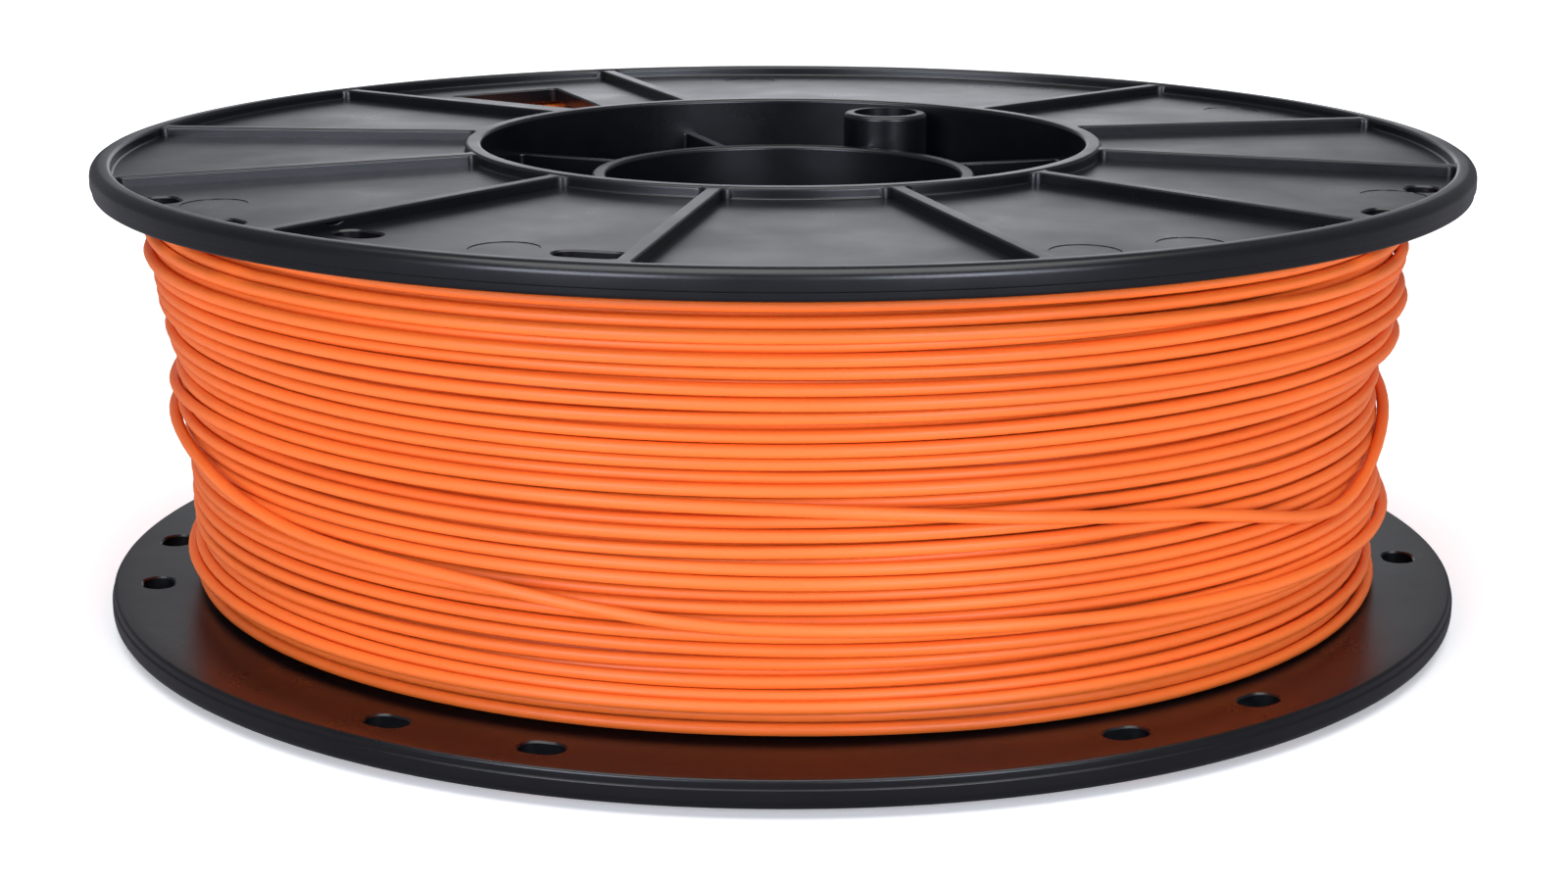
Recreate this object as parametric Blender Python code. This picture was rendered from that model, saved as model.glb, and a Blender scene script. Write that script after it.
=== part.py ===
"""A filament spool, standing on its lower hub ring.

Two black moulded halves meet at mid-height: each is a flange with a rim, outer ribs, half of the drum and half of
the bore tube. One 1.75 mm filament is wound round the drum between the flanges, here as a plain turned ring.
Metres, +Z up along the bore, origin at the middle of the base.
"""

import math

import bmesh
import bpy
from mathutils import Vector

# Overall sizes
FLANGE_R = 0.100
SPOOL_H = 0.068
DRUM_R = 0.0467
BORE_R = 0.0262
FIT_GAP = 0.0003

# Flange, a shallow cone whose hub ring stands proud of its rim
RING_PROUD = 0.0009
RECESS = 0.00165
WEB_T = 0.0024
FLANGE_T = RECESS + WEB_T
RIM_W = 0.0030
RIM_ROUND = 0.0008
STEP_IN = 0.00025
STEP_UP = 0.0013
RIB_W = 0.0022
RIB_SUNK = 0.00015
RIB_FIRST = 18.8
RIB_COUNT = 12
MISSING_RIB = 2

# Drum, bore tube and the webs between them
DRUM_T = 0.0023
TUBE_T = 0.0022
TUBE_SUNK = 0.0050
WEB_FIRST = 19.5
WEB_COUNT = 8
HUB_WEB_T = 0.0016
SPIGOT_H = 0.0030
EDGE = 0.0004
INSET = 0.0002

# Drive boss inside the drum
BOSS_ANGLE = 64.5
BOSS_R = 0.0066
BOSS_HOLE_R = 0.0050
BOSS_FROM_DRUM = 0.0090
BOSS_SUNK = 0.0007

# Holes through the flanges: (angle, distance in from the flange's edge, length along the circle)
SLOT_W = 0.0044
SLOT_L = 0.0062
PAIR_FIRST = 4.5
PAIR_COUNT = 6
PAIR_HALF = 6.95
PAIR_IN = 0.0067
UPPER_SLOTS = (
    (207.2, 0.0068, SLOT_L),
    (220.0, 0.0068, SLOT_L),
    (232.4, 0.0130, 0.0072),
    (254.3, 0.0140, 0.0094),
    (327.4, 0.0068, SLOT_L),
    (340.4, 0.0068, SLOT_L),
)
WINDOW_SECTOR = 3
WINDOW_IN = 0.0133
WINDOW_L = 0.0295
WINDOW_RIB_GAP = 0.0124
WINDOW_CORNER = 0.0015

# Wound filament: radius below the flange's edge at heights from the lower flange to the upper one
WOUND_IN = (
    (0.00, 0.0134),
    (0.08, 0.0121),
    (0.30, 0.0110),
    (0.58, 0.0098),
    (0.74, 0.0088),
    (0.86, 0.0077),
    (1.00, 0.0078),
)

STEPS = 120
TUBE_STEPS = 96
BOSS_STEPS = 40
CUT_PAST = 0.001


def clear_scene():
    for item in list(bpy.data.objects):
        bpy.data.objects.remove(item, do_unlink=True)


def plastic(name, colour, roughness):
    material = bpy.data.materials.new(name)
    material.use_nodes = True
    shader = material.node_tree.nodes["Principled BSDF"]
    shader.inputs["Base Color"].default_value = (*colour, 1.0)
    shader.inputs["Roughness"].default_value = roughness
    shader.inputs["Metallic"].default_value = 0.0
    return material


def object_from(bm, name):
    bmesh.ops.recalc_face_normals(bm, faces=bm.faces)
    mesh = bpy.data.meshes.new(name)
    bm.to_mesh(mesh)
    bm.free()
    item = bpy.data.objects.new(name, mesh)
    bpy.context.scene.collection.objects.link(item)
    return item


def turned(profile, steps, name):
    """A closed (radius, height) outline turned about Z."""
    bm = bmesh.new()
    points = [bm.verts.new((r, 0.0, z)) for r, z in profile]
    edges = [bm.edges.new((points[i - 1], points[i])) for i in range(len(points))]
    bmesh.ops.spin(
        bm,
        geom=points + edges,
        cent=(0, 0, 0),
        axis=(0, 0, 1),
        angle=math.tau,
        steps=steps,
        use_merge=True,
    )
    return object_from(bm, name)


def raise_face(bm, points, vec):
    """Closes a flat ring of points and sweeps it along a straight line into a solid."""
    base = bm.faces.new([bm.verts.new(point) for point in points])
    raised = bmesh.ops.extrude_face_region(bm, geom=[base], use_keep_orig=True)
    ends = [v for v in raised["geom"] if isinstance(v, bmesh.types.BMVert)]
    bmesh.ops.translate(bm, verts=ends, vec=vec)


def turned_point(x, y, angle):
    c = math.cos(math.radians(angle))
    s = math.sin(math.radians(angle))
    return (c * x - s * y, s * x + c * y)


def slot_outline(angle, radius, length, width):
    """A round-ended slot that lies along the circle."""
    half = width / 2
    reach = length / 2 - half
    points = []
    for side in (1, -1):
        for k in range(9):
            turn = math.radians(90 - 90 * side + 22.5 * k)
            points.append((radius + half * math.cos(turn), side * reach + half * math.sin(turn)))
    return [turned_point(x, y, angle) for x, y in points]


def window_outline():
    """A window whose sides keep their distance from the ribs on both sides, with its corners cut off."""
    half_sector = 180 / RIB_COUNT
    outer = FLANGE_R - WINDOW_IN
    inner = outer - WINDOW_L
    corners = []
    for radius, side in ((outer, -1), (outer, 1), (inner, 1), (inner, -1)):
        swing = side * (math.radians(half_sector) - math.asin(WINDOW_RIB_GAP / radius))
        corners.append(Vector((radius * math.cos(swing), radius * math.sin(swing))))
    points = []
    for k, corner in enumerate(corners):
        for other in (corners[k - 1], corners[(k + 1) % 4]):
            points.append(corner + (other - corner).normalized() * WINDOW_CORNER)
    angle = RIB_FIRST + (WINDOW_SECTOR + 0.5) * 360 / RIB_COUNT
    return [turned_point(x, y, angle) for x, y in points]


def circle_outline(x, y, radius, count):
    return [
        (x + radius * math.cos(math.tau * k / count), y + radius * math.sin(math.tau * k / count))
        for k in range(count)
    ]


def prisms(outlines, low, high, name):
    """Upright prisms from flat outlines of (x, y) points."""
    bm = bmesh.new()
    for outline in outlines:
        raise_face(bm, [(x, y, low) for x, y in outline], (0, 0, high - low))
    return object_from(bm, name)


def bars(angles, section, width, name):
    """Bars along the radius with the same (radius, height) section, one at each angle."""
    bm = bmesh.new()
    for angle in angles:
        sideways = turned_point(0, width, angle)
        start = [(*turned_point(r, -width / 2, angle), z) for r, z in section]
        raise_face(bm, start, (*sideways, 0))
    return object_from(bm, name)


def combine(body, tool, operation):
    tool.hide_render = True
    tool.display_type = "WIRE"
    modifier = body.modifiers.new(tool.name, "BOOLEAN")
    modifier.operation = operation
    modifier.solver = "EXACT"
    modifier.object = tool


def inner_end(spigot):
    """Depth at which the tube, webs and boss of one half stop: they meet where the spigot ends."""
    middle = SPOOL_H / 2 - FIT_GAP / 2
    return middle + SPIGOT_H if spigot else middle - SPIGOT_H


def cone(radius):
    """How far the flange falls back from the plane of the hub ring at this radius."""
    return RING_PROUD * (radius - DRUM_R) / (FLANGE_R - RIM_W - DRUM_R)


def shell_profile(level, spigot):
    """Flange and drum of one half. level turns a depth below the outer face into a height."""
    rim_in = FLANGE_R - RIM_W
    inside = RING_PROUD + FLANGE_T
    step = inside - STEP_UP
    middle = SPOOL_H / 2 - FIT_GAP / 2
    drum_in = DRUM_R - DRUM_T
    lap = DRUM_R - DRUM_T / 2
    corner = RIM_ROUND
    outline = [
        (drum_in, EDGE),
        (drum_in + EDGE, 0.0),
        (DRUM_R - EDGE, 0.0),
        (DRUM_R, EDGE),
        (DRUM_R, RECESS - EDGE),
        (DRUM_R + EDGE, RECESS + cone(DRUM_R + EDGE)),
        (rim_in - EDGE, RECESS + cone(rim_in - EDGE)),
        (rim_in, RECESS + RING_PROUD - EDGE),
        (rim_in, RING_PROUD + 0.5 * corner),
        (rim_in + 0.5 * corner, RING_PROUD),
        (FLANGE_R - corner, RING_PROUD),
        (FLANGE_R - 0.3 * corner, RING_PROUD + 0.3 * corner),
        (FLANGE_R, RING_PROUD + corner),
        (FLANGE_R, step),
        (FLANGE_R - STEP_IN, step + STEP_IN),
        (FLANGE_R - STEP_IN, inside - EDGE),
        (FLANGE_R - STEP_IN - EDGE, inside),
        (rim_in, inside),
        (DRUM_R, FLANGE_T),
    ]
    lap += -FIT_GAP / 2 if spigot else FIT_GAP / 2
    end = inner_end(spigot)
    outline += [(DRUM_R, middle), (lap, middle), (lap, end), (drum_in, end)]
    return [(r, level(z)) for r, z in outline]


def tube_profile(level, end):
    """Half of the bore tube, down to this depth."""
    outer = BORE_R + TUBE_T
    outline = [
        (BORE_R, TUBE_SUNK + EDGE),
        (BORE_R + EDGE, TUBE_SUNK),
        (outer - EDGE, TUBE_SUNK),
        (outer, TUBE_SUNK + EDGE),
        (outer, end),
        (BORE_R, end),
    ]
    return [(r, level(z)) for r, z in outline]


def make_half(name, level, spigot, holes, material):
    """One moulding: turned flange and drum, with tube, webs, ribs and boss joined on and the holes cut through."""
    end = inner_end(spigot)
    body = turned(shell_profile(level, spigot), STEPS, name)
    body.data.materials.append(material)

    rib_angles = [RIB_FIRST + k * 360 / RIB_COUNT for k in range(RIB_COUNT) if k != MISSING_RIB]
    rib_ends = (DRUM_R - 0.4 * DRUM_T, FLANGE_R - 0.6 * RIM_W)
    rib = [(r, level(cone(r) + RIB_SUNK)) for r in rib_ends]
    rib += [(r, level(cone(r) + RECESS + WEB_T / 2)) for r in reversed(rib_ends)]
    combine(body, bars(rib_angles, rib, RIB_W, name + "_ribs"), "UNION")

    web_angles = [WEB_FIRST + k * 360 / WEB_COUNT for k in range(WEB_COUNT)]
    web_ends = (BORE_R + TUBE_T / 2, DRUM_R - 0.7 * DRUM_T)
    web = [(r, level(TUBE_SUNK + INSET)) for r in web_ends]
    web += [(r, level(end - INSET)) for r in reversed(web_ends)]
    combine(body, bars(web_angles, web, HUB_WEB_T, name + "_webs"), "UNION")
    combine(body, turned(tube_profile(level, end), TUBE_STEPS, name + "_tube"), "UNION")

    x, y = turned_point(DRUM_R - BOSS_FROM_DRUM, 0, BOSS_ANGLE)
    boss = circle_outline(x, y, BOSS_R, BOSS_STEPS)
    combine(body, prisms([boss], level(BOSS_SUNK), level(end - INSET / 2), name + "_boss"), "UNION")
    hole = circle_outline(x, y, BOSS_HOLE_R, BOSS_STEPS)
    combine(body, prisms([hole], level(-CUT_PAST), level(end + CUT_PAST), name + "_boss_hole"), "DIFFERENCE")

    below = level(RING_PROUD - CUT_PAST)
    above = level(RING_PROUD + FLANGE_T + CUT_PAST)
    combine(body, prisms(holes, below, above, name + "_holes"), "DIFFERENCE")
    return body


def make_winding(material):
    """The wound filament as one ring that clears both flanges and the drum."""
    inner = DRUM_R + FIT_GAP
    low = RING_PROUD + FLANGE_T + FIT_GAP
    height = SPOOL_H - 2 * low
    rise = low - FLANGE_T - FIT_GAP
    outline = [(inner, low - rise)]
    outline += [(FLANGE_R - depth, low + share * height) for share, depth in WOUND_IN]
    outline.append((inner, low + height + rise))
    body = turned(outline, STEPS, "filament_winding")
    body.data.materials.append(material)
    return body


def lower_holes():
    """Six pairs of short slots near the rim."""
    found = []
    for k in range(PAIR_COUNT):
        centre = PAIR_FIRST + k * 360 / PAIR_COUNT
        for side in (-1, 1):
            found.append(slot_outline(centre + side * PAIR_HALF, FLANGE_R - PAIR_IN, SLOT_L, SLOT_W))
    return found


def upper_holes():
    """Single slots near the rim and one window over the winding."""
    found = [slot_outline(angle, FLANGE_R - depth, length, SLOT_W) for angle, depth, length in UPPER_SLOTS]
    found.append(window_outline())
    return found


clear_scene()
lower_black = plastic("moulded_black_lower", (0.018, 0.019, 0.022), 0.38)
upper_black = plastic("moulded_black_upper", (0.018, 0.019, 0.022), 0.38)
orange = plastic("wound_orange_filament", (0.90, 0.16, 0.03), 0.35)

make_half("spool_half_lower", lambda z: z, True, lower_holes(), lower_black)
make_half("spool_half_upper", lambda z: SPOOL_H - z, False, upper_holes(), upper_black)
make_winding(orange)
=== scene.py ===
# %% [markdown]
# # A filament spool
#
# A spool of 3-D printing filament has three real parts: two black mouldings that snap together at
# mid-height, and one long orange filament wound between them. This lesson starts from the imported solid
# model, which fixes every size and place, and gives each part the edges, fillets, strands and surfaces
# that the solid leaves out. Everything is in metres, with Z up along the bore and the spool standing on
# its lower hub ring.

import math
from functools import partial

import bmesh
import bpy
import numpy as np
from mathutils import Matrix, Vector


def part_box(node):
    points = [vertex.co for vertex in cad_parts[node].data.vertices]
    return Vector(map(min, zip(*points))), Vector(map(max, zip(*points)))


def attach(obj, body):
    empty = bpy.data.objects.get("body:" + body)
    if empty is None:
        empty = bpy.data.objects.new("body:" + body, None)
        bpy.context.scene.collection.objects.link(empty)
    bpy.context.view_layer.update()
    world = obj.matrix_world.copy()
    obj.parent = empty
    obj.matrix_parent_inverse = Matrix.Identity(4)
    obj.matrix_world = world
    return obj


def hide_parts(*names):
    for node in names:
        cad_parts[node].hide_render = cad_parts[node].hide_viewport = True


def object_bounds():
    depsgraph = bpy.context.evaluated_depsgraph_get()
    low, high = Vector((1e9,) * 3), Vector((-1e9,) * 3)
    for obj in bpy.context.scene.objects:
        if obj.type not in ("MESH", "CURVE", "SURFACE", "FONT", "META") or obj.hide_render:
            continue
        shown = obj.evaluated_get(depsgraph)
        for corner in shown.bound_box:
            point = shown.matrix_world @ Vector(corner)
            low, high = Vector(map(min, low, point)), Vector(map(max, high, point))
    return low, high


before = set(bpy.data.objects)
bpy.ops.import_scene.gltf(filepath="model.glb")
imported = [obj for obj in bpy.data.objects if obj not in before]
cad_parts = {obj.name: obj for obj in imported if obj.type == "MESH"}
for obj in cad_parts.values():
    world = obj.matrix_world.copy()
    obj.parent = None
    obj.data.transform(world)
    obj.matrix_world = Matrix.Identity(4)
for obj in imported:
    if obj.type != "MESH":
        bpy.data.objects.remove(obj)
cad_box = [list(map(float, corner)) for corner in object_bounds()]
print("solid model:", ", ".join(sorted(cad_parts)))

# %% [markdown]
# ## Sizes
#
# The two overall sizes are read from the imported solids, so that the looks follow the model. The finer
# ones, such as wall thicknesses and the height of the hub ring, are named here once.

# %% Sizes
high = Vector(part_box("spool_half_upper")[1])
FLANGE_R = high.x
SPOOL_H = high.z
DRUM_R = 0.0467
DRUM_T = 0.0023
BORE_R = 0.0262
TUBE_T = 0.0022
TUBE_SUNK = 0.0050
RING_PROUD = 0.0009
RECESS = 0.00165
WEB_T = 0.0024
RIM_W = 0.0030
SPIGOT_H = 0.0030
GAP = 0.0003
RIM_IN = FLANGE_R - RIM_W
RIM_FOOT = RING_PROUD + RECESS + WEB_T
print(f"flange {2000 * FLANGE_R:.0f} mm across, spool {1000 * SPOOL_H:.0f} mm high")

# %% [markdown]
# ## Camera
#
# The camera looks slightly down on the spool, so that the winding, the top of the upper flange and the
# inside of the hub all show at once. It stands close, which is why the upper flange looks a little wider
# than the lower one.

# %% Camera
camera_data = bpy.data.cameras.new("camera")
camera_data.sensor_width = 36.0
camera_data.lens = 66.81
camera = bpy.data.objects.new("camera", camera_data)
camera.location = (0.0, -0.4276, 0.1287)
camera.rotation_euler = (math.radians(90 - 14.03), math.radians(-0.11), 0.0)
bpy.context.scene.collection.objects.link(camera)
bpy.context.scene.camera = camera
print(f"camera {1000 * camera.location.length:.0f} mm from the spool's foot, {camera_data.lens:.0f} mm lens")

# %% [markdown]
# ## Two helpers for colours and nodes
#
# Colours are written here as sRGB hex, as most paint programs show them. Shaders work with linear light,
# so one function converts them. The other adds a node, sets its options and links its inputs in one call.


# %% Colour and node helpers
def linear(code):
    """An sRGB colour such as "FF7A3A" as the linear values that a shader takes."""
    values = [int(code[i : i + 2], 16) / 255 for i in (0, 2, 4)]
    return [v / 12.92 if v <= 0.04045 else ((v + 0.055) / 1.055) ** 2.4 for v in values] + [1.0]


def add(tree, kind, settings=None, **inputs):
    """Adds one node. settings are its attributes; inputs are socket values, or sockets to link from."""
    node = tree.nodes.new(kind)
    for name, value in (settings or {}).items():
        setattr(node, name, value)
    for name, value in inputs.items():
        socket = node.inputs[int(name[1:])] if name[1:].isdigit() else node.inputs[name.replace("_", " ")]
        if isinstance(value, bpy.types.NodeSocket):
            tree.links.new(value, socket)
        else:
            socket.default_value = value
    return node


print(f"mid grey 808080 is {linear('808080')[0]:.3f} in linear light")

# %% [markdown]
# ## The room
#
# Black plastic has almost no colour of its own: what it shows is the room. A dim room with one bright
# patch of wall behind the spool, low down, is what turns the flange grey at a flat angle and leaves its
# edges dark. The patch fades smoothly with the angle away from its middle.

# %% Room
PATCH_WAY = (0.005, 0.997, 0.07)

world = bpy.data.worlds.new("white_room")
world.use_nodes = True
sky = world.node_tree
way = add(sky, "ShaderNodeTexCoord").outputs["Generated"]
facing = add(sky, "ShaderNodeVectorMath", {"operation": "DOT_PRODUCT"}, _0=way, _1=PATCH_WAY)
glow = add(
    sky, "ShaderNodeMapRange", {"interpolation_type": "SMOOTHSTEP"}, Value=facing.outputs["Value"],
    From_Min=0.953, From_Max=0.999, To_Min=0.18, To_Max=1.6,
)
sky.links.new(glow.outputs[0], sky.nodes["Background"].inputs["Strength"])
sky.nodes["Background"].inputs["Color"].default_value = linear("F6F8FF")
bpy.context.scene.world = world
bpy.context.scene.view_settings.view_transform = "Standard"
print("dim room with a bright patch of wall behind the spool")

# %% [markdown]
# ## The lights
#
# One large panel hangs above. Two smaller, slightly blue ones stand low at the front, about thirty
# degrees to either side. They light the winding, and the sides of the ribs catch them as a faint blue
# sheen that tells the eye how the black plastic is shaped.

# %% Lights
LOW_SIZE = (0.75, 0.5)
LOW_POWER = 13.8
LOW_COLOUR = "E8EDFF"


def panel(name, place, size, power, code="FFFFFF"):
    """A soft panel that faces the middle of the spool."""
    data = bpy.data.lights.new(name, "AREA")
    data.shape = "RECTANGLE"
    data.size, data.size_y = size
    data.energy = power
    data.color = linear(code)[:3]
    lamp = bpy.data.objects.new(name, data)
    lamp.location = place
    away = Vector(place) - Vector((0, 0, SPOOL_H / 2))
    lamp.rotation_euler = away.to_track_quat("Z", "Y").to_euler()
    bpy.context.scene.collection.objects.link(lamp)


panel("panel_above", (0.0, -0.25, 1.3), (1.6, 1.2), 18.0)
panel("panel_left", (-0.85, -1.36, 0.50), LOW_SIZE, LOW_POWER, LOW_COLOUR)
panel("panel_right", (0.76, -1.43, 0.50), LOW_SIZE, LOW_POWER, LOW_COLOUR)
print("one panel above and two low at the front")

# %% [markdown]
# ## The floor
#
# The spool stands on a sheet of white paper. The paper glows a little more with distance, so that it
# fades to white and has no horizon. In mirror reflections it is grey instead, because white paper
# mirrored in the black rim would wash the rim out.

# %% Floor
FLOOR_HALF = 6.0
FLOOR_UNDER = 0.0002

bm = bmesh.new()
bmesh.ops.create_grid(bm, x_segments=1, y_segments=1, size=FLOOR_HALF)
bmesh.ops.translate(bm, verts=bm.verts, vec=(0, 0, cad_box[0][2] - FLOOR_UNDER))
floor_mesh = bpy.data.meshes.new("floor")
bm.to_mesh(floor_mesh)
bm.free()
floor = bpy.data.objects.new("floor", floor_mesh)
bpy.context.scene.collection.objects.link(floor)
print(f"floor {2 * FLOOR_HALF:.0f} m wide")

# %% White paper
paper = bpy.data.materials.new("white_paper_sweep")
paper.use_nodes = True
sheet = paper.node_tree
paper_shader = sheet.nodes["Principled BSDF"]
paper_shader.inputs["Roughness"].default_value = 0.9
where = add(sheet, "ShaderNodeTexCoord").outputs["Object"]
reach = add(sheet, "ShaderNodeVectorMath", {"operation": "LENGTH"}, _0=where)
lit = add(
    sheet, "ShaderNodeMapRange", {"interpolation_type": "SMOOTHSTEP"}, Value=reach.outputs["Value"],
    From_Min=0.08, From_Max=0.7, To_Min=0.30, To_Max=0.9,
)
mirrored = add(sheet, "ShaderNodeLightPath").outputs["Is Glossy Ray"]
white = add(
    sheet, "ShaderNodeMix", {"data_type": "RGBA"}, _0=mirrored, _6=linear("FAFAFA"), _7=linear("6A6A70")
)
sheet.links.new(white.outputs[2], paper_shader.inputs["Base Color"])
sheet.links.new(white.outputs[2], paper_shader.inputs["Emission Color"])
sheet.links.new(lit.outputs[0], paper_shader.inputs["Emission Strength"])
floor_mesh.materials.append(paper)
print("material:", paper.name)

# %% [markdown]
# ## The black plastic
#
# The halves are injection moulded in black polystyrene. A polished steel mould with a very fine
# spark-eroded grain leaves a satin skin: nearly black face on, grey where it mirrors the room at a flat
# angle, with a faint waviness from shrinkage. The grain is far finer than the view can show, so it is
# drawn a little coarser, as shallow bump. A slow haze makes some patches a touch duller than others.


# %% Moulded plastic material
def moulded_plastic(name, code, roughness, grain_mm, wave_mm, haze_mm):
    """Satin plastic. The three sizes are how coarse its grain, its waviness and its haze are."""
    material = bpy.data.materials.new(name)
    material.use_nodes = True
    tree = material.node_tree
    shader = tree.nodes["Principled BSDF"]
    shader.inputs["IOR"].default_value = 1.52
    place = add(tree, "ShaderNodeTexCoord").outputs["Object"]
    grain = add(tree, "ShaderNodeTexNoise", Vector=place, Scale=1000 / grain_mm, Detail=2.0)
    wave = add(tree, "ShaderNodeTexNoise", Vector=place, Scale=1000 / wave_mm, Detail=1.0)
    haze = add(tree, "ShaderNodeTexNoise", Vector=place, Scale=1000 / haze_mm, Detail=5.0, Roughness=0.6)
    rough = add(
        tree, "ShaderNodeMapRange", Value=haze.outputs["Fac"],
        From_Min=0.3, From_Max=0.7, To_Min=roughness - 0.04, To_Max=roughness + 0.05,
    )
    tint = add(
        tree, "ShaderNodeMapRange", Value=haze.outputs["Fac"],
        From_Min=0.3, From_Max=0.75, To_Min=0.85, To_Max=1.15,
    )
    black = linear(code)[:3]
    base = add(tree, "ShaderNodeVectorMath", {"operation": "SCALE"}, _0=black, Scale=tint.outputs[0])
    waves = add(tree, "ShaderNodeBump", Strength=0.25, Distance=0.00008, Height=wave.outputs["Fac"])
    grains = add(
        tree, "ShaderNodeBump", Strength=0.25, Distance=0.00002, Height=grain.outputs["Fac"],
        Normal=waves.outputs["Normal"],
    )
    tree.links.new(base.outputs["Vector"], shader.inputs["Base Color"])
    tree.links.new(rough.outputs[0], shader.inputs["Roughness"])
    tree.links.new(grains.outputs["Normal"], shader.inputs["Normal"])
    return material


black_plastic = moulded_plastic("moulded_polystyrene_satin_black", "08090D", 0.30, 0.35, 9.0, 18.0)
print("material:", black_plastic.name)

# %% [markdown]
# ## The orange filament
#
# The filament is extruded PLA, drawn through a round die: smooth along its length and satin. Light that
# falls between two strands bounces from orange to orange, so the grooves come out a darker red-orange
# by themselves. The material only adds a slow change of tint, so that no large area is one flat orange.


# %% Filament material
def extruded_pla(name, code, cloud_mm):
    """Satin filament. cloud_mm is how far apart its lighter and darker stretches are."""
    material = bpy.data.materials.new(name)
    material.use_nodes = True
    tree = material.node_tree
    shader = tree.nodes["Principled BSDF"]
    shader.inputs["Roughness"].default_value = 0.42
    shader.inputs["IOR"].default_value = 1.46
    place = add(tree, "ShaderNodeTexCoord").outputs["Object"]
    cloud = add(tree, "ShaderNodeTexNoise", Vector=place, Scale=1000 / cloud_mm, Detail=3.0)
    tint = add(
        tree, "ShaderNodeMapRange", Value=cloud.outputs["Fac"],
        From_Min=0.3, From_Max=0.7, To_Min=0.94, To_Max=1.06,
    )
    orange = linear(code)[:3]
    base = add(tree, "ShaderNodeVectorMath", {"operation": "SCALE"}, _0=orange, Scale=tint.outputs[0])
    tree.links.new(base.outputs["Vector"], shader.inputs["Base Color"])
    return material


orange_pla = extruded_pla("extruded_pla_satin_orange", "EF7029", 25.0)
print("material:", orange_pla.name)

# %% [markdown]
# ## Turned shapes
#
# Each half of the spool is one shot of plastic, and most of it is turned: flange, rim, half the drum and
# half the bore tube. A section is drawn once as a closed outline, its corners are rounded with a vertex
# bevel, and it is spun about the bore. Spinning keeps the rim evenly round all the way.

# %% Turned shapes
MERGE_UNDER = 1e-7
ON_AXIS = 1e-9


def object_from(bm, name):
    """Finishes a bmesh as an object at the origin, with doubles merged and faces turned outwards."""
    bmesh.ops.remove_doubles(bm, verts=bm.verts, dist=MERGE_UNDER)
    bmesh.ops.recalc_face_normals(bm, faces=bm.faces)
    mesh = bpy.data.meshes.new(name)
    bm.to_mesh(mesh)
    bm.free()
    item = bpy.data.objects.new(name, mesh)
    bpy.context.scene.collection.objects.link(item)
    return item


def turned(corners, steps, name):
    """Spins a closed outline of (radius, height, rounding) about Z, with each corner rounded first."""
    bm = bmesh.new()
    verts = [bm.verts.new((r, 0.0, z)) for r, z, _ in corners]
    bm.faces.new(verts)
    for rounding in sorted({c[2] for c in corners if c[2] > 0}):
        group = [v for v, c in zip(verts, corners) if c[2] == rounding]
        bmesh.ops.bevel(
            bm, geom=group, offset=rounding, offset_type="OFFSET", affect="VERTICES",
            segments=4, profile=0.5, material=-1,
        )
    bmesh.ops.delete(bm, geom=list(bm.faces), context="FACES_ONLY")
    on_axis = [e for e in bm.edges if max(abs(v.co.x) for v in e.verts) < ON_AXIS]
    bmesh.ops.delete(bm, geom=on_axis, context="EDGES")
    bmesh.ops.spin(
        bm, geom=bm.verts[:] + bm.edges[:], cent=(0, 0, 0), axis=(0, 0, 1), angle=math.tau,
        steps=steps, use_merge=True,
    )
    return object_from(bm, name)


print("turned shapes ready")

# %% [markdown]
# ## Lofts and joins
#
# Ribs, webs and hole cutters are lofts: one outline is extruded ring by ring. The parts of one moulding
# are joined with exact Booleans, which leave one closed skin, as one shot of plastic has. Afterwards the
# shading is smoothed between the sharp edges, and weighted normals keep the large flat faces flat.


# %% Lofts and joins
def at_angle(x, y, degrees):
    """A point turned about the bore."""
    c, s = math.cos(math.radians(degrees)), math.sin(math.radians(degrees))
    return (c * x - s * y, s * x + c * y)


def loft_into(bm, rings):
    """A closed solid through rings with equal point counts. Returns its last face."""
    face = bm.faces.new([bm.verts.new(place) for place in rings[0]])
    for ring in rings[1:]:
        made = bmesh.ops.extrude_face_region(bm, geom=[face], use_keep_orig=True)["geom"]
        if ring is not rings[1]:
            bmesh.ops.delete(bm, geom=[face], context="FACES_ONLY")
        face = next(item for item in made if isinstance(item, bmesh.types.BMFace))
        for vert, place in zip(face.verts, ring):
            vert.co = place
    return face


def combine(body, tool, operation):
    """Adds a Boolean that joins the tool to the body or cuts it away."""
    modifier = body.modifiers.new(tool.name, "BOOLEAN")
    modifier.operation = operation
    modifier.solver = "EXACT"
    modifier.object = tool


def settle(body, tools, sharp_degrees=32.0):
    """Applies a piece's Booleans, removes the tools and smooths it between its sharp edges."""
    graph = bpy.context.evaluated_depsgraph_get()
    mesh = bpy.data.meshes.new_from_object(body.evaluated_get(graph))
    body.modifiers.clear()
    body.data = mesh
    for tool in tools:
        bpy.data.objects.remove(tool, do_unlink=True)
    mesh.shade_smooth()
    mesh.set_sharp_from_angle(angle=math.radians(sharp_degrees))
    weighted = body.modifiers.new("flat_faces_stay_flat", "WEIGHTED_NORMAL")
    weighted.keep_sharp = True
    weighted.weight = 80


print("lofts and joins ready")

# %% [markdown]
# ## Flange, rim and drum
#
# The flange is a very shallow cone: the hub ring stands a little proud of the rim, so that the spool
# rests on its ring. The mould parts along the side of the rim and leaves a small step there, which shows
# as a fine line all the way round. Both halves share one section, given as depths below the outer face.
# A small function, called level, turns a depth into a height for the upper or the lower half.

# %% Section of one half
PARTING_UP = 0.0013
PARTING_IN = 0.00025
FLANGE_STEPS = 240


def cone(r):
    """How far the flange falls back from the plane of the hub ring at this radius."""
    return RING_PROUD * (r - DRUM_R) / (RIM_IN - DRUM_R)


def web_out(r):
    """Depth of the flange's outer face at this radius."""
    return RECESS + cone(r)


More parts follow.
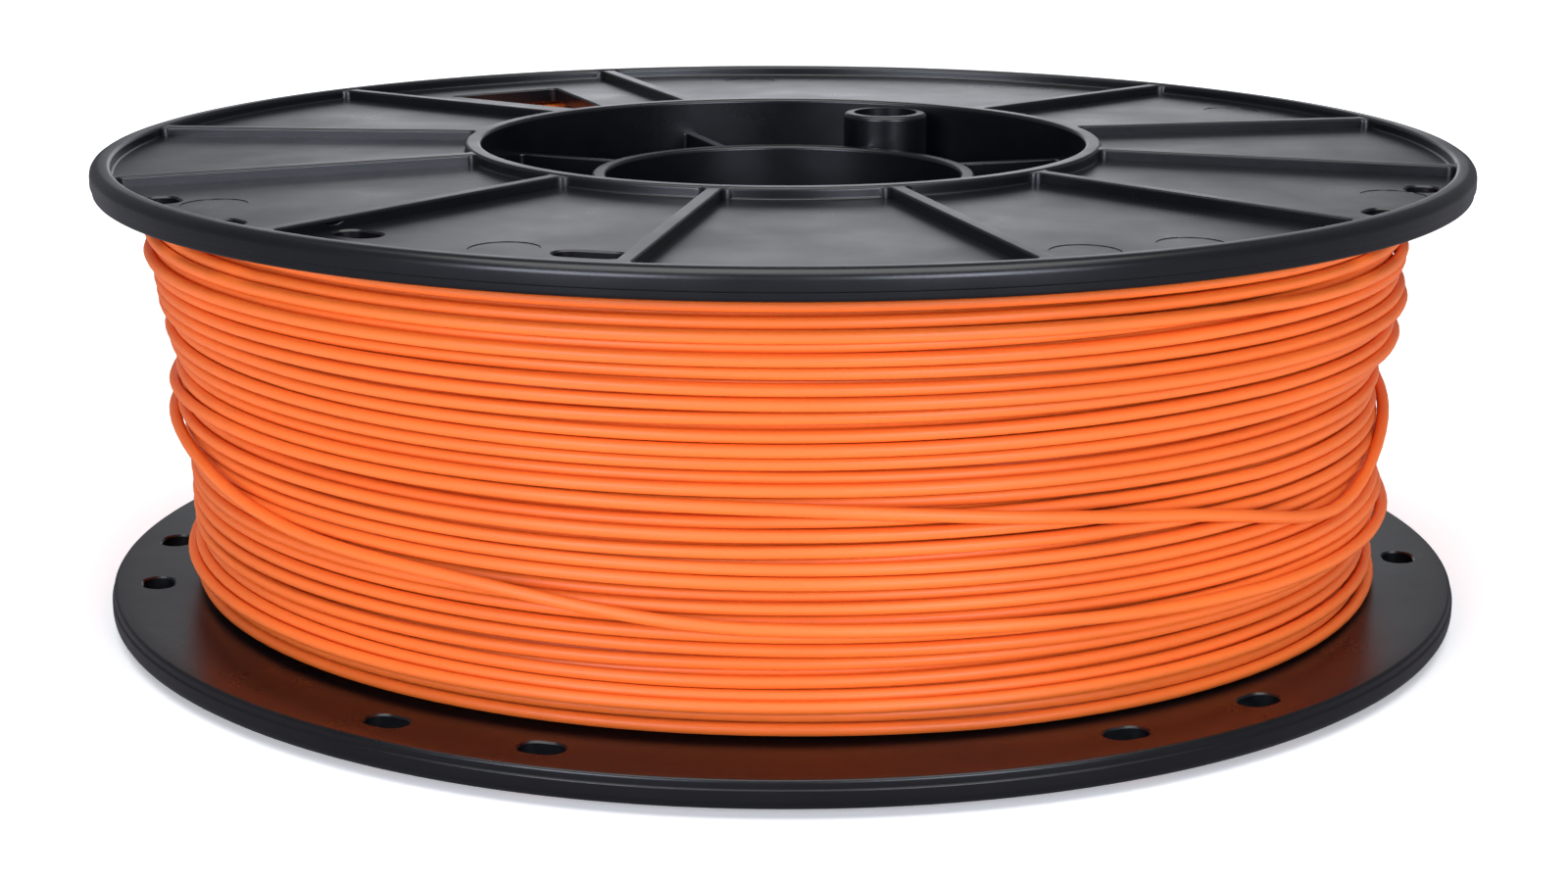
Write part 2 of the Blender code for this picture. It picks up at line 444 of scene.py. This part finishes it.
def inner_end(spigot):
    """Depth at which tube, webs and boss of one half stop: the two halves meet where the spigot ends."""
    middle = SPOOL_H / 2 - GAP / 2
    return middle + SPIGOT_H if spigot else middle - SPIGOT_H


def half_shell(name, level, spigot):
    """Flange, rim and drum as one spun section."""
    middle = SPOOL_H / 2 - GAP / 2
    lap = DRUM_R - DRUM_T / 2 + (-GAP / 2 if spigot else GAP / 2)
    end = inner_end(spigot)
    step = RIM_FOOT - PARTING_UP
    corners = [
        (DRUM_R - DRUM_T, 0.0, 0.00055),
        (DRUM_R, 0.0, 0.0005),
        (DRUM_R, web_out(DRUM_R), 0.0003),
        (RIM_IN, web_out(RIM_IN), 0.0004),
        (RIM_IN, RING_PROUD, 0.0006),
        (FLANGE_R, RING_PROUD, 0.0014),
        (FLANGE_R, step, 0.00012),
        (FLANGE_R - PARTING_IN, step + PARTING_IN / 2, 0.0),
        (FLANGE_R - PARTING_IN, RIM_FOOT, 0.0005),
        (RIM_IN, RIM_FOOT, 0.0),
        (DRUM_R, RECESS + WEB_T, 0.0004),
        (DRUM_R, middle, 0.0001),
        (lap, middle, 0.0),
        (lap, end, 0.0001),
        (DRUM_R - DRUM_T, end, 0.0001),
    ]
    return turned([(r, level(depth), rounding) for r, depth, rounding in corners], FLANGE_STEPS, name)


print(f"flange falls {1000 * cone(RIM_IN):.1f} mm from hub to rim")

# %% [markdown]
# ## Ribs and hub webs
#
# The ribs stiffen the flange. Each is a bar whose sides flare into the ring and the rim with a small
# fillet, as a milled mould leaves it, and those fillets catch the light as short bright lines. The
# outline seen from above is extruded, its top follows the cone of the flange, and its top edges are
# bevelled. One rib of the twelve is missing. The webs that hold the bore tube are made the same way.

# %% Bars
FLARE_POINTS = 6


def flared_outline(start, end, near, far, width, flare, angle):
    """A bar from above, from start to end: its sides flare out where it meets walls at near and far."""
    half = width / 2
    turns = [math.pi / 2 * k / (FLARE_POINTS - 1) for k in range(FLARE_POINTS)]
    side = [(start, half + flare)]
    side += [(near + flare * (1 - math.cos(t)), half + flare * (1 - math.sin(t))) for t in turns]
    side += [(far - flare * (1 - math.sin(t)), half + flare * (1 - math.cos(t))) for t in turns]
    side.append((end, half + flare))
    return [at_angle(x, y, angle) for x, y in side + [(x, -y) for x, y in reversed(side)]]


def bars(outlines, top, foot, rounding, name):
    """Bars raised from outlines. top and foot give a height at a radius; the top edges are rounded."""
    bm = bmesh.new()
    for outline in outlines:
        rings = [[(x, y, height(math.hypot(x, y))) for x, y in outline] for height in (foot, top)]
        face = loft_into(bm, rings)
        bmesh.ops.bevel(
            bm, geom=list(face.edges), offset=rounding, offset_type="OFFSET", affect="EDGES",
            segments=3, profile=0.5, material=-1, clamp_overlap=True,
        )
    return object_from(bm, name)


print("bars ready")

# %% Ribs and webs
RIB_W = 0.0022
RIB_SUNK = 0.00015
RIB_FIRST = 18.8
RIB_COUNT = 12
MISSING_RIB = 2
RIB_FLARE = 0.0012
RIB_ROUND = 0.00035
HUB_WEB_W = 0.0016
HUB_WEB_FLARE = 0.0008
HUB_WEB_ROUND = 0.0003
HUB_WEB_SHORT = 0.0002
WEB_FIRST = 19.5
WEB_COUNT = 8


def rib_bars(name, level):
    """The ribs of one flange."""
    start = DRUM_R - 0.4 * DRUM_T
    end = RIM_IN + 0.4 * RIM_W
    outlines = [
        flared_outline(start, end, DRUM_R, RIM_IN, RIB_W, RIB_FLARE, RIB_FIRST + k * 360 / RIB_COUNT)
        for k in range(RIB_COUNT)
        if k != MISSING_RIB
    ]
    return bars(
        outlines,
        lambda r: level(cone(r) + RIB_SUNK),
        lambda r: level(web_out(r) + WEB_T / 2),
        RIB_ROUND,
        name,
    )


def hub_web_bars(name, level, spigot):
    """The webs between the bore tube and the drum."""
    tube_out = BORE_R + TUBE_T
    drum_in = DRUM_R - DRUM_T
    start = tube_out - 0.6 * TUBE_T
    end = DRUM_R - 0.5 * DRUM_T
    foot = inner_end(spigot) - HUB_WEB_SHORT
    outlines = [
        flared_outline(
            start, end, tube_out, drum_in, HUB_WEB_W, HUB_WEB_FLARE, WEB_FIRST + k * 360 / WEB_COUNT
        )
        for k in range(WEB_COUNT)
    ]
    return bars(
        outlines,
        lambda r: level(TUBE_SUNK + HUB_WEB_SHORT),
        lambda r: level(foot),
        HUB_WEB_ROUND,
        name,
    )


print(f"{RIB_COUNT - 1} ribs and {WEB_COUNT} hub webs to a half")

# %% [markdown]
# ## Bore tube and drive boss
#
# The bore tube takes the holder's spindle, and the small boss beside it takes a drive pin. Both are
# turned, and the boss is then moved to its place off the axis.

# %% Tube and boss
TUBE_STEPS = 160
BOSS_ANGLE = 64.5
BOSS_R = 0.0066
BOSS_HOLE_R = 0.0050
BOSS_FROM_DRUM = 0.0090
BOSS_SUNK = 0.0007
BOSS_SHORT = 0.0001
BOSS_ROUND = 0.0007
BOSS_STEPS = 64
DRILL_PAST = 0.001


def bore_tube(name, level, spigot):
    """Half of the bore tube, with a rounded lip."""
    end = inner_end(spigot)
    outer = BORE_R + TUBE_T
    corners = [
        (BORE_R, TUBE_SUNK, 0.0006),
        (outer, TUBE_SUNK, 0.0006),
        (outer, end, 0.0001),
        (BORE_R, end, 0.0001),
    ]
    return turned([(r, level(depth), rounding) for r, depth, rounding in corners], TUBE_STEPS, name)


def boss_rod(name, level, radius, top, foot, rounding):
    """A rod at the boss's place, from depth top to depth foot: the boss itself, or its drill."""
    corners = [(0.0, top, 0.0), (radius, top, rounding), (radius, foot, 0.0), (0.0, foot, 0.0)]
    rod = turned([(r, level(depth), rounding) for r, depth, rounding in corners], BOSS_STEPS, name)
    x, y = at_angle(DRUM_R - BOSS_FROM_DRUM, 0, BOSS_ANGLE)
    rod.data.transform(Matrix.Translation((x, y, 0)))
    return rod


print(f"bore {2000 * BORE_R:.1f} mm across, drive hole {2000 * BOSS_HOLE_R:.0f} mm")

# %% [markdown]
# ## Holes
#
# Holes are cut last. Each cutter is a loft: straight through the wall, then widening beyond both of its
# faces, so that the Boolean leaves a small chamfer instead of a knife edge. The slots take the end of
# the filament, and the window shows how much of it is left.

# %% Hole cutters
SLOT_W = 0.0044
SLOT_L = 0.0062
CHAMFER = 0.00025
WINDOW_IN = 0.0133
WINDOW_L = 0.0295
WINDOW_FROM_RIB = 0.0124
WINDOW_CORNER = 0.0015
WINDOW_SECTOR = 3.5


def slot_outline(angle, radius, length, grow):
    """A round-ended slot that lies along the circle. grow is how far it is widened."""
    half = SLOT_W / 2 + grow
    reach = (length - SLOT_W) / 2
    points = []
    for side in (1, -1):
        for k in range(13):
            turn = math.radians(90 - 90 * side + 15 * k)
            points.append((radius + half * math.cos(turn), side * reach + half * math.sin(turn)))
    return [at_angle(x, y, angle) for x, y in points]


def window_outline(grow):
    """The window over the winding, with sides parallel to the ribs beside it and rounded corners."""
    outer = FLANGE_R - WINDOW_IN + grow
    inner = FLANGE_R - WINDOW_IN - WINDOW_L - grow
    corners = []
    for radius, side in ((outer, -1), (outer, 1), (inner, 1), (inner, -1)):
        swing = side * (math.radians(180 / RIB_COUNT) - math.asin((WINDOW_FROM_RIB - grow) / radius))
        corners.append(Vector((radius * math.cos(swing), radius * math.sin(swing))))
    points = []
    for k, corner in enumerate(corners):
        before = corner + (corners[k - 1] - corner).normalized() * WINDOW_CORNER
        after = corner + (corners[(k + 1) % 4] - corner).normalized() * WINDOW_CORNER
        for t in (0.0, 0.25, 0.5, 0.75, 1.0):
            points.append(before * (1 - t) ** 2 + corner * 2 * t * (1 - t) + after * t * t)
    return [at_angle(p.x, p.y, RIB_FIRST + WINDOW_SECTOR * 360 / RIB_COUNT) for p in points]


def hole_cutters(outlines, level, name):
    """Cutters from functions that each give an outline for how far it is grown."""
    bm = bmesh.new()
    for outline in outlines:
        rings = []
        for grow, height in (
            (CHAMFER * 5, lambda r: level(web_out(r) - CHAMFER * 4)),
            (0.0, lambda r: level(web_out(r) + CHAMFER)),
            (0.0, lambda r: level(web_out(r) + WEB_T - CHAMFER)),
            (CHAMFER * 5, lambda r: level(web_out(r) + WEB_T + CHAMFER * 4)),
        ):
            rings.append([(x, y, height(math.hypot(x, y))) for x, y in outline(grow)])
        loft_into(bm, rings)
    return object_from(bm, name)


print(f"slots {1000 * SLOT_W:.1f} mm wide, window {1000 * WINDOW_L:.1f} mm long")

# %% [markdown]
# ## Where the holes are
#
# The lower flange has six pairs of equal slots. The upper one has its own: four short slots near the
# rim, and two longer ones further in at the front left. Each upper slot is listed as its angle, how far
# it lies inside the edge, and its length.

# %% Places of the holes
PAIR_COUNT = 6
PAIR_FIRST = 4.5
PAIR_HALF = 6.95
PAIR_IN = 0.0067
UPPER_SLOTS = (
    (207.2, 0.0068, SLOT_L),
    (220.0, 0.0068, SLOT_L),
    (232.4, 0.0130, 0.0072),
    (254.3, 0.0140, 0.0094),
    (327.4, 0.0068, SLOT_L),
    (340.4, 0.0068, SLOT_L),
)

lower_holes = []
for k in range(PAIR_COUNT):
    for side in (-1, 1):
        angle = PAIR_FIRST + k * 360 / PAIR_COUNT + side * PAIR_HALF
        lower_holes.append(partial(slot_outline, angle, FLANGE_R - PAIR_IN, SLOT_L))
upper_holes = [partial(slot_outline, angle, FLANGE_R - inset, length) for angle, inset, length in UPPER_SLOTS]
upper_holes.append(window_outline)
print(f"{len(lower_holes)} slots below, {len(UPPER_SLOTS)} slots and a window above")

# %% [markdown]
# ## Pin marks
#
# Steel pins push the moulding out of its mould and leave shallow round marks on the flange. They are cut
# as discs that follow the cone, less than a tenth of a millimetre deep. Each is listed as its angle and
# its distance from the bore.

# %% Pin marks
PIN_R = 0.0045
PIN_DEPTH = 0.00007
PIN_ABOVE = 0.0004
PIN_STEPS = 48
UPPER_PINS = (
    (211.7, 0.0885), (335.9, 0.0906), (294.6, 0.088), (304.0, 0.090), (246.8, 0.086), (93.8, 0.0885),
    (33.8, 0.0885),
)
LOWER_PINS = [(33.8 + 60 * k, 0.086) for k in range(6)]


def pin_marks(places, level, name):
    """Cutters for the marks at these places."""
    bm = bmesh.new()
    turns = [math.tau * k / PIN_STEPS for k in range(PIN_STEPS)]
    for angle, radius in places:
        x, y = at_angle(radius, 0, angle)
        circle = [(x + PIN_R * math.cos(turn), y + PIN_R * math.sin(turn)) for turn in turns]
        rings = [
            [(px, py, level(web_out(math.hypot(px, py)) + depth)) for px, py in circle]
            for depth in (-PIN_ABOVE, PIN_DEPTH)
        ]
        loft_into(bm, rings)
    return object_from(bm, name)


print(f"{len(UPPER_PINS)} pin marks above, {len(LOWER_PINS)} below")

# %% [markdown]
# ## Both mouldings
#
# Now each half is put together: the turned shell, with ribs, webs, tube and boss joined on, and then the
# holes and marks cut. The finished moulding takes the place of its plain solid in the frame.


# %% Build both halves
def build_half(name, level, spigot, holes, pins):
    """One moulding, in one piece."""
    body = half_shell(name, level, spigot)
    end = inner_end(spigot)
    joined = [
        rib_bars(name + "_ribs", level),
        hub_web_bars(name + "_webs", level, spigot),
        bore_tube(name + "_tube", level, spigot),
        boss_rod(name + "_boss", level, BOSS_R, BOSS_SUNK, end - BOSS_SHORT, BOSS_ROUND),
    ]
    cuts = [
        boss_rod(name + "_boss_hole", level, BOSS_HOLE_R, -DRILL_PAST, end + DRILL_PAST, 0.0),
        hole_cutters(holes, level, name + "_holes"),
        pin_marks(pins, level, name + "_pins"),
    ]
    for tool in joined:
        combine(body, tool, "UNION")
    for tool in cuts:
        combine(body, tool, "DIFFERENCE")
    settle(body, joined + cuts)
    body.data.materials.clear()
    body.data.materials.append(black_plastic)
    print(f"{name}: {len(body.data.polygons)} faces")
    return body


upper = build_half("upper_half_moulded", lambda depth: SPOOL_H - depth, False, upper_holes, UPPER_PINS)
lower = build_half("lower_half_moulded", lambda depth: depth, True, lower_holes, LOWER_PINS)
for piece, node in ((upper, "spool_half_upper"), (lower, "spool_half_lower")):
    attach(piece, "root")
    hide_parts(node)

# %% [markdown]
# ## The bed of the winding
#
# About 330 metres of 1.75 mm filament lie in some 26 layers. From the side only the outer ones show, so
# a turned core stands for the inner ones, and the last layers are laid by a small simulation that winds
# one continuous strand the way a machine does. The bed that they are laid on gives the winding its
# outline: narrower at the foot, fuller under the upper flange, and with a shallow hollow down one side.

# %% Bed of the winding
STRAND_D = 0.00175
TURN_STEPS = 128
LAYERS = 4
LAYER_RISE = 0.0021
WOUND_SHAPE = (
    (0.00, 0.0134), (0.08, 0.0121), (0.30, 0.0110), (0.58, 0.0098), (0.74, 0.0088), (0.86, 0.0077),
    (1.00, 0.0078),
)
LIFT = ((0.0, 0.0), (0.70, 0.0), (0.86, 0.0012), (1.0, 0.0015))
HOLLOW_SIDE = 350.0
HOLLOW_SPREAD = 55
HOLLOW = (
    (0.0, 0.0), (0.36, 0.0), (0.46, 0.0014), (0.56, 0.0019), (0.74, 0.0025), (0.86, 0.0022), (1.0, 0.0018),
)


def along(table, place):
    """Reads a table of (place, value) pairs at any place."""
    return np.interp(place, [at for at, _ in table], [value for _, value in table])


def wound_radius(z):
    """Outer radius of the finished winding at this height."""
    foot = RIM_FOOT + GAP
    share = (z - foot) / (SPOOL_H - 2 * foot)
    return FLANGE_R - along(WOUND_SHAPE, share)


def bed_radius(z, angle):
    """Radius of the bed: fuller towards the upper flange, and lower on the hollow side."""
    off_side = (angle - HOLLOW_SIDE + 180) % 360 - 180
    hollow = along(HOLLOW, z / SPOOL_H) * np.exp(-((off_side / HOLLOW_SPREAD) ** 2))
    return wound_radius(z) + along(LIFT, z / SPOOL_H) - hollow - (LAYERS - 0.5) * LAYER_RISE


print(f"bed {1000 * bed_radius(SPOOL_H / 2, HOLLOW_SIDE):.1f} mm in radius at mid-height, in the hollow")

# %% [markdown]
# ## The path of the guide
#
# A guide moves slowly up and down while the spool turns. Its speed is uneven, it wanders a little, and it
# does most of its climbing in one part of each turn. That leaves the gaps, the crossings and the lumpy
# edge that a ruled pattern would never show. The last two turns lie loosely across the others, so their
# heights are listed by angle.

# %% Smooth noise and blur
LAST_TURNS = (
    (0, 0.012), (120, 0.027), (190, 0.0325), (207, 0.0302), (216, 0.0272), (225, 0.0256), (238, 0.0247),
    (246, 0.0241), (253, 0.0225), (262, 0.0206), (270, 0.0199), (300, 0.0185), (360, 0.0180), (450, 0.026),
    (520, 0.0345), (570, 0.0372), (610, 0.0368), (630, 0.0362), (642, 0.0345), (656, 0.0321),
    (664, 0.0311), (672, 0.0290), (679, 0.0262), (686, 0.0234), (691, 0.0243), (697, 0.0275),
    (705, 0.0312), (720, 0.0335), (800, 0.0350), (860, 0.0352),
)


def smooth_noise(rng, count, period):
    """Smooth random wander with about one swing per period samples, between -1 and 1."""
    knots = rng.uniform(-1, 1, count // period + 4)
    place = np.arange(count) / period
    k = place.astype(int)
    t = place - k
    t = t * t * (3 - 2 * t)
    return knots[k] * (1 - t) + knots[k + 1] * t


def blur(values, width):
    """Values smoothed along the strand."""
    reach = np.arange(-3 * width, 3 * width + 1)
    kernel = np.exp(-0.5 * (reach / width) ** 2)
    padded = np.pad(values, 3 * width, mode="edge")
    return np.convolve(padded, kernel / kernel.sum(), mode="valid")


print(f"last turns end at a height of {1000 * LAST_TURNS[-1][1]:.0f} mm")

# %% Guide path
PITCH = 1.08
EDGE_SPACE = 0.62
PACE_SWING = 0.15
CROSS_ZONE = 0.72
CROSS_SHIFT = 0.2
CROSS_WIDTH = 0.12
SLOW_PACE = 0.5
CROSS_PACE = 2.3
WANDER = 0.00022
EASE_DEGREES = 40


def layer_travel(rng, count):
    """Share of its travel that the guide has covered at each sample of one layer."""
    pace = 1.0 + PACE_SWING * smooth_noise(rng, count, 3 * TURN_STEPS)
    shift = CROSS_SHIFT * rng.uniform(-1, 1, count // TURN_STEPS + 1)
    zone = (CROSS_ZONE + shift[np.arange(count) // TURN_STEPS]) * TURN_STEPS
    away = np.abs((np.arange(count) - zone + TURN_STEPS / 2) % TURN_STEPS - TURN_STEPS / 2)
    pace = pace * (SLOW_PACE + CROSS_PACE * np.exp(-((away / (CROSS_WIDTH * TURN_STEPS)) ** 2)))
    travel = np.cumsum(pace)
    return travel / travel[-1]


def guide_path(rng):
    """Height of the guide along the whole strand: layer by layer in whole turns, then the loose turns."""
    z_low = RIM_FOOT + STRAND_D * EDGE_SPACE
    z_high = SPOOL_H - z_low
    count = int(round((z_high - z_low) / (STRAND_D * PITCH))) * TURN_STEPS
    heights = []
    for layer in range(LAYERS):
        travel = layer_travel(rng, count) * (z_high - z_low)
        heights.append(z_low + travel if layer % 2 == 0 else z_high - travel)
    z = np.concatenate(heights)
    jitter = smooth_noise(rng, len(z), TURN_STEPS // 3)
    drift = smooth_noise(rng, len(z), TURN_STEPS)
    z = np.clip(z + WANDER * (jitter + drift), z_low, z_high)
    turn = np.arange(int(LAST_TURNS[-1][0] / 360 * TURN_STEPS)) / TURN_STEPS * 360
    loose = blur(along(LAST_TURNS, turn), 2)
    ease = np.clip(turn / EASE_DEGREES, 0, 1)
    return np.concatenate([z, z[-1] * (1 - ease) + loose * ease])


print(f"guide climbs {1000 * STRAND_D * PITCH:.2f} mm in a turn")

# %% [markdown]
# ## How the strand comes to rest
#
# Each short stretch of strand is tried a little higher and a little lower, and slides to where it can lie
# deepest, which is the nearest valley between the strands under it. Then its tension pulls it straight,
# so that it bridges dips as a taut strand does.

# %% Contact and tension
SLIDE = 0.0009
SLIDE_COST = 0.12
SLIDE_TRIES = 17
SLIDE_BLUR = 5
TAUT_ROUNDS = 10
TAUT_BLUR = 3
LAST_BLUR = 2


def contact(z, old_r, old_z, floor):
    """Radius at which a strand at z rests on the strands under it."""
    gap = np.abs(z[..., None] - old_z)
    rest = old_r + np.sqrt(np.clip(STRAND_D**2 - gap**2, 0, None))
    rest = np.where(gap < STRAND_D, rest, 0.0)
    return np.maximum(rest.max(axis=-1), floor)


def find_valley(guide_z, angle, old_r, old_z, slid_before):
    """How far each sample slides up or down. slid_before holds the slides of the samples before them."""
    slides = np.linspace(-SLIDE, SLIDE, SLIDE_TRIES)
    options = guide_z[:, None] + slides
    rest = contact(options, old_r[:, None, :], old_z[:, None, :], bed_radius(options, angle[:, None]))
    slide = slides[np.argmin(rest + SLIDE_COST * np.abs(slides), axis=1)]
    return blur(np.concatenate([slid_before, slide]), SLIDE_BLUR)[len(slid_before) :]


def pull_taut(under, radius_before):
    """Lifts the strand over dips. The last blur may sink it by up to 0.3 mm into what it lies on."""
    fixed = len(radius_before)
    least = np.concatenate([radius_before, under])
    taut = least.copy()
    for _ in range(TAUT_ROUNDS):
        taut = np.maximum(least, blur(taut, TAUT_BLUR))
        taut[:fixed] = radius_before
    return blur(taut, LAST_BLUR)[fixed:]


print(f"a strand slides {1000 * SLIDE:.1f} mm at most")

# %% [markdown]
# ## Laying the strand
#
# The strand is laid in stretches of an eighth of a turn. Each is worked out together with what comes
# just before and after it, so that no joint shows. Everything laid is noted by its angle, and the next
# turns rest on it.

# %% Winding simulation
STRETCH = 16
AHEAD = 48
BEHIND = 24


def lay_strand(rng):
    """Radius and height of the strand at every sample."""
    guide = guide_path(rng)
    count = len(guide)
    turns = count // TURN_STEPS + 2
    old_r = np.zeros((TURN_STEPS, turns))
    old_z = np.full((TURN_STEPS, turns), -1.0)
    radius = np.zeros(count)
    height = np.zeros(count)
    for start in range(0, count, STRETCH):
        index = np.arange(start, min(start + STRETCH + AHEAD, count))
        before = slice(max(start - BEHIND, 0), start)
        column = index % TURN_STEPS
        angle = column * 360 / TURN_STEPS
        slid = height[before] - guide[before]
        slide = find_valley(guide[index], angle, old_r[column], old_z[column], slid)
        z = np.clip(guide[index] + slide, guide.min(), guide.max())
        under = contact(z, old_r[column], old_z[column], bed_radius(z, angle))
        taut = pull_taut(under, radius[before])
        laid = index[:STRETCH]
        radius[laid] = taut[: len(laid)]
        height[laid] = z[: len(laid)]
        old_r[laid % TURN_STEPS, laid // TURN_STEPS] = radius[laid]
        old_z[laid % TURN_STEPS, laid // TURN_STEPS] = height[laid]
    return radius, height


strand_r, strand_z = lay_strand(np.random.default_rng(7))
print(f"{len(strand_r) // TURN_STEPS} turns laid, outermost at {1000 * strand_r.max():.1f} mm")

# %% [markdown]
# ## The strand as a mesh
#
# The path becomes a curve with a round bevel, and the curve becomes a mesh. One strand would be a very
# long mesh, so it is cut into four pieces whose ends meet, about one to a layer. The last piece also has
# the loose turns.

# %% Strand meshes
LOOSE_SHARE = 0.1


def strand_mesh(start, stop, name):
    """A round tube along the strand from one sample to another."""
    angle = math.tau * np.arange(start, stop) / TURN_STEPS
    radius, height = strand_r[start:stop], strand_z[start:stop]
    places = np.stack([radius * np.cos(angle), radius * np.sin(angle), height, np.ones(len(radius))], axis=1)
    curve = bpy.data.curves.new(name, "CURVE")
    curve.dimensions = "3D"
    curve.twist_mode = "Z_UP"
    curve.bevel_depth = STRAND_D / 2
    curve.bevel_resolution = 2
    curve.use_fill_caps = True
    spline = curve.splines.new("POLY")
    spline.points.add(len(radius) - 1)
    spline.points.foreach_set("co", places.ravel())
    holder = bpy.data.objects.new(name + "_curve", curve)
    bpy.context.scene.collection.objects.link(holder)
    graph = bpy.context.evaluated_depsgraph_get()
    mesh = bpy.data.meshes.new_from_object(holder.evaluated_get(graph))
    bpy.data.objects.remove(holder, do_unlink=True)
    mesh.shade_smooth()
    mesh.materials.clear()
    mesh.materials.append(orange_pla)
    item = bpy.data.objects.new(name, mesh)
    bpy.context.scene.collection.objects.link(item)
    return item


per_piece = int(len(strand_r) / (LAYERS + LOOSE_SHARE))
for layer in range(LAYERS):
    start = layer * per_piece
    stop = start + per_piece + 1 if layer < LAYERS - 1 else len(strand_r)
    piece = strand_mesh(start, stop, f"filament_layer_{layer + 1}")
    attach(piece, "root")
    print(f"{piece.name}: {len(piece.data.polygons)} faces")

# %% [markdown]
# ## The core
#
# A plain turned ring stands for the inner layers, from the drum out to the bed in its hollow. The laid
# layers hide it from the side. From above, its flat top can be seen through the window, where a real
# spool would show the turns of every layer. It takes the place of the winding's solid in the frame.

# %% Core
CORE_STEPS = 180
core_foot = RIM_FOOT + GAP
core_shape = [(DRUM_R + GAP, RECESS + WEB_T + GAP, 0.0)]
for share, _ in WOUND_SHAPE:
    z = core_foot + share * (SPOOL_H - 2 * core_foot)
    core_shape.append((float(bed_radius(z, HOLLOW_SIDE)), z, 0.0))
core_shape.append((DRUM_R + GAP, SPOOL_H - RECESS - WEB_T - GAP, 0.0))
core = turned(core_shape, CORE_STEPS, "filament_core")
core.data.shade_smooth()
core.data.materials.append(orange_pla)
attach(core, "root")
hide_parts("filament_winding")
print("core under the laid strands")
